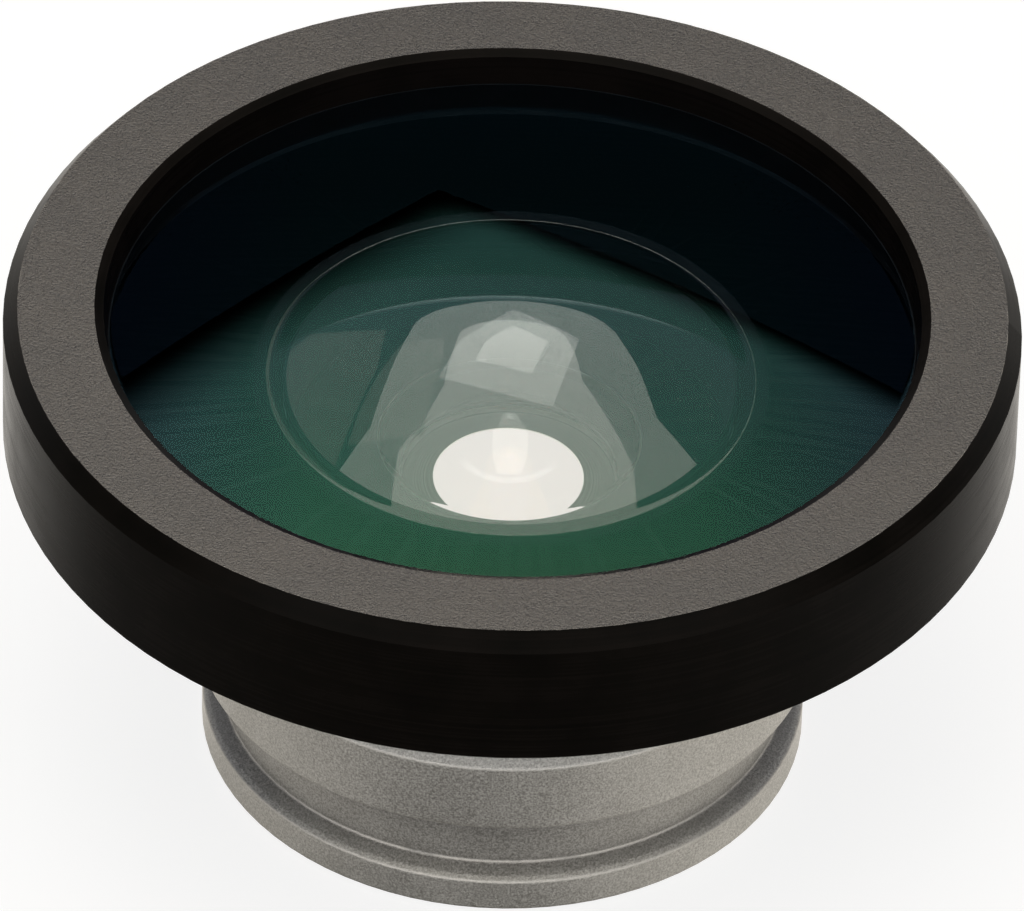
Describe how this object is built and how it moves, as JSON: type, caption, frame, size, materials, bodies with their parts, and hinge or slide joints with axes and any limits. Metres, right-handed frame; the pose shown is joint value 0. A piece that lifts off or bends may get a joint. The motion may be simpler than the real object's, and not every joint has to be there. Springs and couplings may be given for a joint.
{
  "type": "phone wide-angle lens",
  "caption": "Magnetic clip-on lens for a phone camera: black ringed wide-angle head with a green coated front glass, screwed onto a silver close-up barrel with a magnet base.",
  "frame": {"origin": "centre of the flange's rear face, which lies on the phone", "axes": "+Z along the optical axis, from the rear face towards the front glass; the part is round, so X and Y are free, with the retaining ring's slots along X"},
  "size_m": [0.022, 0.022, 0.0115],
  "materials": {
    "black_anodised": "bead-blasted, black anodised",
    "silver_anodised": "bead-blasted, clear anodised",
    "coated_front_glass": "polished, green anti-reflection coating",
    "bare_aluminium": "turned, uncoated",
    "inner_glass": "polished, edge and rear rim lacquered black",
    "close_up_glass": "polished",
    "black_nylon": "punched sheet",
    "matt_black_plastic": "matt punched sheet",
    "nickel_plate": "nickel-plated sintered magnet"
  },
  "bodies": {
    "close_up_unit": {"macro_housing": "silver_anodised", "ring_magnet": "nickel_plate", "macro_stop": "bare_aluminium", "macro_lens": "close_up_glass", "macro_retaining_ring": "bare_aluminium"},
    "joint_washer": {"thread_washer": "black_nylon"},
    "wide_head": {"wide_housing": "black_anodised", "front_bezel": "black_anodised", "front_lens": "coated_front_glass", "lens_shim": "black_nylon", "inner_lens": "inner_glass", "inner_lens_ring": "matt_black_plastic"}
  },
  "joints": [
    {"name": "thread_turn", "type": "hinge", "parent": "close_up_unit", "child": "joint_washer", "pos_m": [0, 0, 0.00487], "axis": [0, 0, 1], "range_deg": [0, 900]},
    {"name": "head_lift", "type": "slide", "parent": "joint_washer", "child": "wide_head", "axis": [0, 0, 1], "range_m": [0, 0.00125]}
  ],
  "couplings": [
    {"joint": "head_lift", "follows": "thread_turn", "m_per_rad": 0.000079577}
  ]
}
